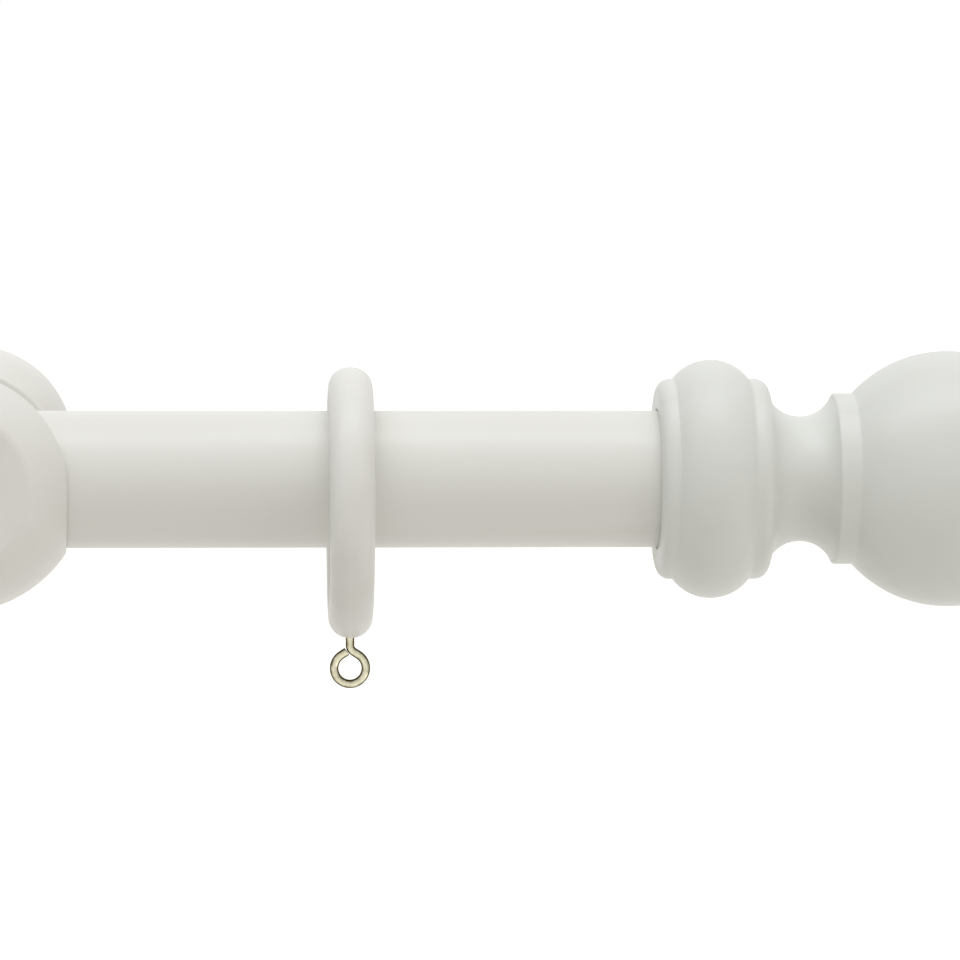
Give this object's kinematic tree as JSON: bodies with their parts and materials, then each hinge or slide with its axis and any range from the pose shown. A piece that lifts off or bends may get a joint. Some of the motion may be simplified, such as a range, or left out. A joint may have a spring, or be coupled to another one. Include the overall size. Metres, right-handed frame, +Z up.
{
  "type": "curtain rod with brackets",
  "caption": "White turned-wood curtain pole in open-topped ball cup brackets, with ball finials and sliding rings that carry wire screw eyes for curtain hooks.",
  "frame": {"origin": "on the wall plane, halfway between the two brackets' fixing bolts, at the height of their axes", "axes": "+X along the pole to the right as seen from the room, +Y into the wall, +Z up"},
  "size_m": [1.353, 0.1336, 0.0693],
  "materials": {
    "pole_paint": "satin off-white paint",
    "finial_paint": "satin off-white paint",
    "bracket_paint": "satin off-white paint",
    "ring_paint": "satin off-white paint",
    "brass_wire": "bright brass plating",
    "zinc_steel": "zinc plating"
  },
  "bodies": {
    "brackets": {"left_bracket_cup": "bracket_paint", "left_bracket_base": "bracket_paint", "left_threaded_insert": "zinc_steel", "left_hanger_bolt": "zinc_steel", "right_bracket_cup": "bracket_paint", "right_bracket_base": "bracket_paint", "right_threaded_insert": "zinc_steel", "right_hanger_bolt": "zinc_steel"},
    "left_lock_screw": {"left_lock_screw": "zinc_steel"},
    "right_lock_screw": {"right_lock_screw": "zinc_steel"},
    "pole": {"pole": "pole_paint"},
    "left_finial": {"left_finial": "finial_paint", "left_finial_dowel_screw": "zinc_steel"},
    "right_finial": {"right_finial": "finial_paint", "right_finial_dowel_screw": "zinc_steel"},
    "ring_01": {"ring_01": "ring_paint", "ring_eye_01": "brass_wire"},
    "ring_02": {"ring_02": "ring_paint", "ring_eye_02": "brass_wire"},
    "ring_03": {"ring_03": "ring_paint", "ring_eye_03": "brass_wire"},
    "ring_04": {"ring_04": "ring_paint", "ring_eye_04": "brass_wire"},
    "ring_05": {"ring_05": "ring_paint", "ring_eye_05": "brass_wire"},
    "ring_06": {"ring_06": "ring_paint", "ring_eye_06": "brass_wire"},
    "ring_07": {"ring_07": "ring_paint", "ring_eye_07": "brass_wire"},
    "ring_08": {"ring_08": "ring_paint", "ring_eye_08": "brass_wire"},
    "ring_09": {"ring_09": "ring_paint", "ring_eye_09": "brass_wire"},
    "ring_10": {"ring_10": "ring_paint", "ring_eye_10": "brass_wire"},
    "ring_11": {"ring_11": "ring_paint", "ring_eye_11": "brass_wire"},
    "ring_12": {"ring_12": "ring_paint", "ring_eye_12": "brass_wire"}
  },
  "joints": [
    {"name": "pole_lift", "type": "slide", "parent": "brackets", "child": "pole", "axis": [0, 0, 1], "range_m": [0, 0.045]},
    {"name": "left_lock_screw_out", "type": "slide", "parent": "brackets", "child": "left_lock_screw", "axis": [0, 0, -1], "range_m": [0, 0.01]},
    {"name": "right_lock_screw_out", "type": "slide", "parent": "brackets", "child": "right_lock_screw", "axis": [0, 0, -1], "range_m": [0, 0.01]},
    {"name": "left_finial_off", "type": "slide", "parent": "pole", "child": "left_finial", "axis": [-1, 0, 0], "range_m": [0, 0.03]},
    {"name": "right_finial_off", "type": "slide", "parent": "pole", "child": "right_finial", "axis": [1, 0, 0], "range_m": [0, 0.03]},
    {"name": "ring_01_slide", "type": "slide", "parent": "pole", "child": "ring_01", "axis": [1, 0, 0], "range_m": [-0.0576, 0.0483]},
    {"name": "ring_02_slide", "type": "slide", "parent": "pole", "child": "ring_02", "axis": [1, 0, 0], "range_m": [-0.0355, 0.0355]},
    {"name": "ring_03_slide", "type": "slide", "parent": "pole", "child": "ring_03", "axis": [1, 0, 0], "range_m": [-0.0355, 0.0355]},
    {"name": "ring_04_slide", "type": "slide", "parent": "pole", "child": "ring_04", "axis": [1, 0, 0], "range_m": [-0.0355, 0.0355]},
    {"name": "ring_05_slide", "type": "slide", "parent": "pole", "child": "ring_05", "axis": [1, 0, 0], "range_m": [-0.0355, 0.0355]},
    {"name": "ring_06_slide", "type": "slide", "parent": "pole", "child": "ring_06", "axis": [1, 0, 0], "range_m": [-0.0355, 0.0355]},
    {"name": "ring_07_slide", "type": "slide", "parent": "pole", "child": "ring_07", "axis": [1, 0, 0], "range_m": [-0.0355, 0.0355]},
    {"name": "ring_08_slide", "type": "slide", "parent": "pole", "child": "ring_08", "axis": [1, 0, 0], "range_m": [-0.0355, 0.0355]},
    {"name": "ring_09_slide", "type": "slide", "parent": "pole", "child": "ring_09", "axis": [1, 0, 0], "range_m": [-0.0355, 0.0355]},
    {"name": "ring_10_slide", "type": "slide", "parent": "pole", "child": "ring_10", "axis": [1, 0, 0], "range_m": [-0.0355, 0.0355]},
    {"name": "ring_11_slide", "type": "slide", "parent": "pole", "child": "ring_11", "axis": [1, 0, 0], "range_m": [-0.0355, 0.0355]},
    {"name": "ring_12_slide", "type": "slide", "parent": "pole", "child": "ring_12", "axis": [1, 0, 0], "range_m": [-0.0483, 0.0576]}
  ]
}
